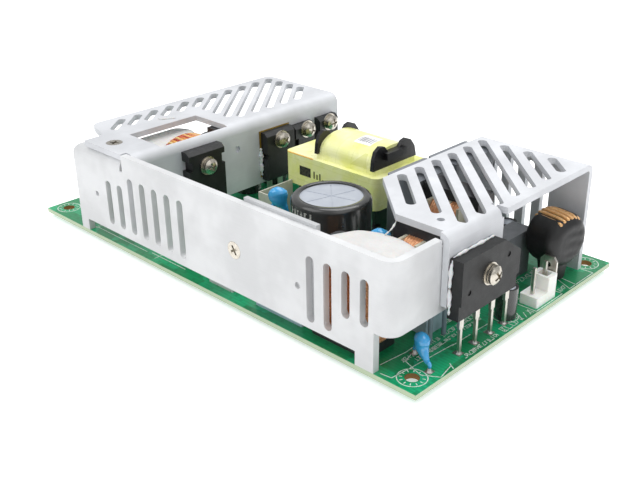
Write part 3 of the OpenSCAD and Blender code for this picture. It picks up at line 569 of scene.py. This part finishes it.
# the strokes of one mark within a unit square, and the rows as (z, height, angle 0, angle 1, step)
strokes = ((0, 1, 0, 0.22), (0, 1, 0.78, 1), (0, 0.28, 0, 1), (0.72, 1, 0, 1), (0, 1, 0.4, 0.62),
           (0.36, 0.64, 0, 1))
for z0, tall, a0, a1, step in ((26.1, 1.9, 243, 286, 7.5), (23.4, 1.9, 266, 297, 7),
                               (20.6, 2.0, 282, 304, 8), (17.8, 1.8, 300, 318, 8)):
    for at in np.arange(a0, a1, step):
        for s in pick.permutation(6)[:3]:
            box, w = strokes[s], step * 0.6
            cells.append((at + box[0] * w, at + box[1] * w, z0 + box[2] * tall, z0 + box[3] * tall))
piece("large_capacitor_print", *wrapped_marks(cells, can_at, can_r), pale, "bulk_sleeve", False)

# ---- box and film capacitors ----
# Moulded plastic boxes filled with resin, standing on their leads.
dress(moulding("grey_box", ink(118, 122, 128), 0.4, 0.15, 0.03, 1.15), "box_capacitors")
dress(moulding("dark_grey_box", ink(104, 107, 111), 0.42, 0.15, 0.03, 1.2), "x_capacitor")
dress(moulding("blue_grey_box", ink(170, 192, 204), 0.38, 0.1, 0.03, 1.15), "film_capacitors")
dress(moulding("pale_box", ink(196, 198, 198), 0.4, 0.1, 0.03, 1.1), "relay_block")

# ---- small and output capacitors ----
# Radial cans in shrink sleeves, with a bare scored top and a pale stripe.
dress(sleeve, "small_electrolytics", "output_capacitor_sleeves")
disc = [(0, 0), (2.4, 0), (2.46, 0.04), (2.4, 0.08), (0.15, 0.1), (0, 0.1)]
tops = [lathe(disc, (cx, cy, tall - 0.3), 32) for cx, cy, tall in small_cans]
piece("small_can_tops", *several(tops), can, "small_sleeve")
# each striped can as (x, y, height, radius, angle where its stripe starts)
striped = [(cx, cy, tall, 3.25, start) for (cx, cy, tall), start in zip(small_cans, (60, 0, 20, 70))]
striped += [(cx, cy, 20, 5, start) for cx, cy, start in (
    (-62, 10, 200), (-62, 23, 150), (-62, 36, 170), (-46, 13, 10), (-46, 27, 30), (-46, 40, 60))]
stripes = [wrapped_marks([(start, start + 34, 1, tall - 1.2)], (cx, cy, 0), r)
           for cx, cy, tall, r, start in striped]
piece("capacitor_stripes", *several(stripes), pale, "small_sleeve", False)

# ---- disc capacitors ----
# Ceramic discs dipped in blue epoxy, which runs down the legs in drips.
blue = Finish("blue_dip", ink(36, 134, 204), 0.14, Coat_Weight=0.7, Coat_Roughness=0.06,
              Subsurface_Weight=0.06, Subsurface_Scale=0.002)
blue.set(Base_Color=blue.mix(blue.noise(2.4), ink(34, 146, 210), ink(78, 178, 232)))
blue.bump(blue.noise(1.6, 2), 0.2, 0.6)


def dipped(centre, radius, thick, turned, half, foot, lean=1, n=44):
    """A dipped disc: a flattened drop that runs down into one leg, with a thin run on the other."""
    cz, t = centre[2], np.linspace(0, 1, n)
    low = cz - radius
    path = curve([(-lean * 0.2 * radius, 0, cz + radius), (-lean * 0.12 * radius, 0, cz + 0.35 * radius),
                  (lean * 0.1 * radius, 0, cz - 0.45 * radius),
                  (lean * (half + radius * 0.3) / 2, 0, low - 0.2 * radius),
                  (lean * half, 0, (low + foot) / 2), (lean * half, 0, foot)], n)
    wide = np.interp(t, (0, 0.03, 0.1, 0.2, 0.3, 0.42, 0.55, 0.7, 0.95, 1),
                     (0, 0.34, 0.72, 0.97, 0.98, 0.78, 0.42, 0.26, 0.2, 0)) * radius
    points, faces = tube(path, wide, 28, ref=(0.0, 1.0, 0.0))
    points[:, 1] *= np.interp(np.abs(points[:, 2] - cz), (0, radius), (thick / (2 * radius), 0.8))
    other = curve([(-lean * radius * 0.3, 0, cz - radius * 0.4), (-lean * half * 0.8, 0, low),
                   (-lean * half, 0, foot)], 20)
    thin = np.interp(np.linspace(0, 1, 20), (0, 0.02, 0.5, 0.95, 1), (0, 0.9, 0.6, 0.5, 0))
    points, faces = several([(points, faces), tube(other, thin, 12, ref=(0.0, 1.0, 0.0))])
    c, s = np.cos(np.radians(turned)), np.sin(np.radians(turned))
    turned_points = np.stack([centre[0] + points[:, 0] * c - points[:, 1] * s,
                              centre[1] + points[:, 0] * s + points[:, 1] * c, points[:, 2]], 1)
    return turned_points, faces


drops = [dipped((7.6, -20.5, 22.7), 3.3, 4.2, 45, 2.5, 13),
         dipped((57, -27.8, 25.8), 3.4, 4.2, 30, 2.5, 16),
         dipped((80.4, -37.6, 6.2), 3, 4.0, -27.4, 4.9, 1.2)]
dips = piece("dipped_discs", *several(drops), blue, "disc_coating")
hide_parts("disc_capacitors")

# ---- line chokes ----
# Black ferrite frames whose middle leg carries a pale moulded bobbin wound
# with enamelled copper wire, one layer showing.
ferrite = moulding("ferrite", ink(38, 38, 41), 0.38, 0.5, 0.04)
dress(ferrite, "line_choke_cores", "boost_choke_core")
bobbin = moulding("bobbin_plastic", ink(214, 208, 188), 0.45, 0.1, 0.02, 1.1)
_, _, z = bobbin.xyz()
upper = bobbin.mix(bobbin.noise(4), ink(206, 200, 178), ink(222, 217, 198))
lower = bobbin.mix(bobbin.noise(2), ink(112, 128, 138), ink(132, 148, 158))
bobbin.set(Base_Color=bobbin.mix(z < 18.2, upper, lower))
dress(bobbin, "line_choke_bobbins")


def copper_wire(name, low, high):
    """Enamelled copper: a clear coat over metal that changes tone from turn to turn."""
    f = Finish(name, low, 0.28, 0.45, Coat_Weight=0.5, Coat_Roughness=0.1)
    f.set(Base_Color=f.mix(f.noise(1.4, 2), low, high), Roughness=0.22 + f.noise(0.8) * 0.15)
    f.bump(f.noise(0.5), 0.03)
    return f


copper = copper_wire("enamelled_copper", ink(222, 132, 82), ink(254, 204, 156))
dress(copper, "line_choke_windings", "boost_choke_winding")
golden = copper_wire("golden_wire", ink(206, 138, 72), ink(246, 206, 146))
dress(moulding("lacquered_core", ink(40, 62, 38), 0.4, 0.2), "sleeved_choke_winding")


def oval(ry, rz, n=56):
    """Points round an oval in y and z: two half circles of radius rz joined by straights."""
    t = np.linspace(0, 2 * np.pi, n, endpoint=False)
    return np.sign(np.cos(t)) * (ry - rz) + rz * np.cos(t), rz * np.sin(t)


turns = []
for (cx, cy, cz), long, sections, end in (((70.3, -25, 26.1), 15.8, 1, 4.4), ((60.9, 3, 25.4), 20, 2, 4)):
    room = (long - 2 * end) / sections
    for k in range(sections):
        n = int((room - 1.8) / 0.82)
        xs = cx - (long - 2 * end) / 2 + k * room + 0.9 + (room - 1.8) * (np.arange(n) + 0.5) / n
        oy, oz = oval(7.85, 4.75)
        loop = np.stack(np.broadcast_arrays(xs[:, None], cy + oy, cz + oz), 2)
        turns.append(tube(loop, (room - 1.8) / n / 2, 8, True, (1.0, 0.0, 0.0)))
piece("line_choke_turns", *several(turns), copper, "choke_copper")

# ---- boost choke ----
# A tall coil of heavy copper wire between two ferrite plates.
def rounded(w, d, r, n=80):
    """Points round a rectangle of half sizes w and d with corners of radius r, as a superellipse walk."""
    t = np.linspace(0, 2 * np.pi, n, endpoint=False)
    return np.sign(np.cos(t)) * (w - r) + r * np.cos(t), np.sign(np.sin(t)) * (d - r) + r * np.sin(t)


rx, ry = rounded(10.75, 6.25, 5.8)
levels = 3.6 + np.arange(22)
loops = np.stack(np.broadcast_arrays(58 + rx, -40.5 + ry, levels[:, None]), 2)
piece("boost_choke_turns", *tube(loops, 0.5, 8, True), copper, "boost_copper")

# ---- sleeved choke ----
# A toroid wound with copper inside a black shrink sleeve, which ends at the
# top in a mouth that shows the turns, and gathers round the leads below.
shrink = Finish("shrink_sleeve_rubber", ink(34, 34, 36), 0.42, Coat_Weight=0.12)
x, y, _ = shrink.xyz()
crease = shrink.put("ShaderNodeTexWave", dict(bands_direction="Z"), out=1,
                    Vector=shrink.place((0.09, 0.09, 0.09)), Scale=1.0, Distortion=3.5, Detail=2.0)
rib = crease * shrink.ramp(x - 79.8 + (y - 29.3) * 0.18, 4.5, 7.0)
shrink.set(Base_Color=shrink.mix(shrink.noise(3), ink(4, 4, 5), ink(14, 14, 15)),
           Roughness=0.46 + shrink.noise(2) * 0.2)
shrink.bump(rib * 1.6 + shrink.noise(2.6, 3) * 0.6, 0.35, 0.7)
dress(shrink, "sleeved_choke_sleeve")
turn_z = np.radians(80)
axle = np.array([np.sin(turn_z), -np.cos(turn_z), 0])
side = np.array([np.cos(turn_z), np.sin(turn_z), 0])
lean = np.radians(np.array([-31, -19, -6.5, 6, 18.5, 30.5]))
run = np.linspace(-5.4, 5.4, 26)
drop = 0.9 * (np.abs(run) / 5.4) ** 5
reach = 7.98 - drop
over = (np.array([79.8, 29.3, 14.2]) + run[None, :, None] * axle
        + (reach[None, :] * np.sin(lean)[:, None])[..., None] * side
        + (reach[None, :] * np.cos(lean)[:, None])[..., None] * np.array([0, 0, 1.0]))
thick = np.where(np.abs(run) > 5.3, 0.0, 0.7)
piece("sleeved_choke_turns", *tube(over, thick, 10, ref=tuple(side)), golden, "sleeved_copper")

# ---- output choke ----
# A large toroid wound with twisted strands of lacquered copper in reds and
# golds; each turn goes through the eye.
strands = Finish("lacquered_strands", ink(206, 100, 40), 0.24, 0.1, Coat_Weight=0.8, Coat_Roughness=0.08)
shade = strands.put("ShaderNodeAttribute", dict(attribute_name="turn_number"), out=2)
lacquers = [(0.0, ink(140, 26, 16)), (0.34, ink(206, 74, 24)), (0.58, ink(240, 172, 76)),
            (1.0, ink(250, 226, 150))]
band = strands.put("ShaderNodeValToRGB", dict(stops=lacquers), Fac=shade)
strands.set(Base_Color=strands.mix(strands.ramp(strands.noise(0.8), 0.5, 0.8) * 0.7, band,
                                   ink(150, 40, 20)), Roughness=0.18 + strands.noise(1) * 0.2)
strands.bump(strands.noise(0.6), 0.04)
ring_at, turns_round = (-41.6, -17.4, 15.6), 88
around = np.linspace(0, 2 * np.pi, turns_round, endpoint=False)
t = np.linspace(0, 2 * np.pi, 36, endpoint=False)
out_r = np.sign(np.cos(t)) * (4.5 - 3.4) + 3.4 * np.cos(t)
out_x = np.sign(np.sin(t)) * (5.6 - 3.4) + 3.4 * np.sin(t)
wide = 10.5 + out_r
twist = around[:, None] + 0.02 * np.sin(t)
loops = np.stack([ring_at[0] + out_x + 0 * twist, ring_at[1] + wide * np.cos(twist),
                  ring_at[2] + wide * np.sin(twist)], 2)
centre = loops.mean(1, keepdims=True)
size = np.interp(wide, (6, 15), (0.21, 0.54))
points, faces = tube(centre + (loops - centre) * 1.02, size, 8, True, (1.0, 0.013, 0.021))
ring = piece("output_choke_turns", points, faces, strands, "output_copper")
pick = np.random.default_rng(11)
wave = 0.5 + 0.5 * np.sin(4 * t[None, :] + 2.1 * np.arange(turns_round)[:, None])
tone = np.repeat((0.45 * pick.random(turns_round)[:, None] + 0.55 * wave).ravel(), 8)
mark = ring.data.attributes.new("turn_number", "FLOAT", "POINT")
mark.data.foreach_set("value", tone[:len(ring.data.vertices)].astype(np.float32))
dress(copper_wire("inner_strands", ink(150, 54, 28), ink(196, 104, 50)), "output_choke_winding")
dress(moulding("cutout_moulding", ink(28, 28, 30), 0.4), "thermal_cutout")

# ---- connectors, tab and barrier ----
# White nylon headers with square tinned pins, a tinned brass earth tab, and
# a grey fibre barrier sheet between primary and secondary.
nylon = moulding("white_nylon", ink(254, 254, 246), 0.38, 0.05, 0.03, 1.06)
nylon.set(Subsurface_Weight=0.12, Subsurface_Scale=0.002)
dress(nylon, "input_connector", "output_connector")
dress(legs, "ground_tab")
fibre = Finish("barrier_fibre", ink(196, 194, 180), 0.6)
fibre.set(Base_Color=fibre.mix(fibre.noise(1.5, 4), ink(178, 176, 164), ink(208, 206, 192)))
fibre.bump(fibre.noise(0.3), 0.03)
dress(fibre, "barrier_sheet")

# ---- white silicone ----
# Silicone run over the tall parts to hold them: soft heaps that were laid by
# hand, with threads that the nozzle drew out as it left.
silicone = Finish("white_silicone", ink(222, 220, 216), 0.42, Subsurface_Weight=0.1, Subsurface_Scale=0.003)
silicone.set(Base_Color=silicone.mix(silicone.noise(6), ink(208, 206, 203), ink(224, 224, 223)))
silicone.bump(silicone.noise(3.4, 3) + silicone.noise(0.6) * 0.1, 0.8, 0.7)
heap = bpy.data.objects.new("silicone_heaps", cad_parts["silicone_glue"].data.copy())
shell = bmesh.new()
shell.from_mesh(heap.data)
bmesh.ops.remove_doubles(shell, verts=shell.verts, dist=1e-6)
shell.to_mesh(heap.data)
shell.free()
bpy.context.scene.collection.objects.link(heap)
heap.data.materials.clear()
heap.data.materials.append(silicone.mat)
remesh = heap.modifiers.new("even_mesh", "REMESH")
remesh.mode, remesh.voxel_size, remesh.use_smooth_shade = "VOXEL", 0.0006, True
ease = heap.modifiers.new("ease", "SMOOTH")
ease.factor, ease.iterations = 0.9, 14
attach(heap, "root")
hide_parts("silicone_glue")
long_thread = [(64, -35.5, 31.6), (65.9, -36.2, 33.2), (66.2, -34.6, 34), (64.6, -31.2, 33.9),
               (61.2, -25, 33.9), (58.5, -20.6, 34.6)]
threads = [bead(long_thread, 0.22, 60, 5),
           bead([(-56, -20, 34.9), (-54, -17, 34.7), (-52.6, -14.2, 34.7)], 0.3, 24, 2),
           bead([(40, -47.5, 33.2), (43, -47.2, 32.2), (46, -46.9, 32.8), (49, -46.2, 31.6)], 0.8, 24, 6)]
piece("silicone_threads", *several(threads), silicone, "silicone")

# ---- floor, light and camera ----
# A plain pale floor under large soft lamps; the long lens looks down from
# the board's near right corner.
floor = Finish("pale_floor", ink(246, 246, 246), 0.9)
seen = floor.put("ShaderNodeLightPath")
# camera, glossy and transmission rays see the floor's glow
glow = seen.math("MAXIMUM", seen.other(3)).math("MAXIMUM", seen.other(6))
shine = floor.put("ShaderNodeEmission", Color=(1, 1, 1, 1), Strength=glow * 0.55)
mesh = bpy.data.meshes.new("floor")
span = 3.0
mesh.from_pydata([(-span, -span, 0), (span, -span, 0), (span, span, 0), (-span, span, 0)], [],
                 [(0, 1, 2, 3)])
mesh.materials.append(floor.mat)
ground = bpy.data.objects.new("floor", mesh)
bpy.context.scene.collection.objects.link(ground)
total = floor.tree.nodes.new("ShaderNodeAddShader")
floor.tree.links.new(floor.shader.outputs[0], total.inputs[0])
floor.tree.links.new(shine.socket, total.inputs[1])
floor_end = next(n for n in floor.tree.nodes if n.type == "OUTPUT_MATERIAL")
floor.tree.links.new(total.outputs[0], floor_end.inputs[0])

world = bpy.data.worlds.new("studio")
bpy.context.scene.world = world
world.use_nodes = True
tree = world.node_tree
tree.nodes.clear()
sky = tree.nodes.new("ShaderNodeBackground")
white = tree.nodes.new("ShaderNodeBackground")
white.inputs[0].default_value, white.inputs[1].default_value = (1, 1, 1, 1), 1.0
sky.inputs[0].default_value, sky.inputs[1].default_value = (0.98, 0.99, 1, 1), 0.6
path, both, end = (tree.nodes.new("ShaderNode" + n) for n in ("LightPath", "MixShader", "OutputWorld"))
tree.links.new(path.outputs["Is Camera Ray"], both.inputs[0])
tree.links.new(sky.outputs[0], both.inputs[1])
tree.links.new(white.outputs[0], both.inputs[2])
tree.links.new(both.outputs[0], end.inputs[0])

# each lamp as its name, place, width and power
for name, at, size, power in (("key", (-0.35, -0.75, 0.85), 0.9, 4.0),
                              ("fill", (0.75, -0.1, 0.6), 0.8, 1.4),
                              ("top", (0.0, 0.35, 1.1), 0.9, 7.6)):
    lamp = bpy.data.lights.new(name, "AREA")
    lamp.size, lamp.energy = size, power
    o = bpy.data.objects.new(name, lamp)
    away = -np.array(at) / np.linalg.norm(at)
    right = np.cross(away, (0, 0, 1)) / np.linalg.norm(np.cross(away, (0, 0, 1)))
    up = np.cross(right, away)
    o.matrix_world = Matrix(np.block([[np.stack([right, up, -away], 1), np.array(at)[:, None]],
                                      [np.zeros((1, 3)), 1]]).tolist())
    bpy.context.scene.collection.objects.link(o)

lens = bpy.data.cameras.new("camera")
lens.lens, lens.sensor_width = 50.41, 36
lens.clip_start = 0.01
camera = bpy.data.objects.new("camera", lens)
camera.matrix_world = Matrix(((0.71867, -0.2918, 0.63125, 0.20321),
                              (0.69525, 0.3175, -0.64496, -0.20234),
                              (-0.0122, 0.9023, 0.43075, 0.13784), (0, 0, 0, 1)))
bpy.context.scene.collection.objects.link(camera)
bpy.context.scene.camera = camera
bpy.context.scene.view_settings.view_transform = "Standard"
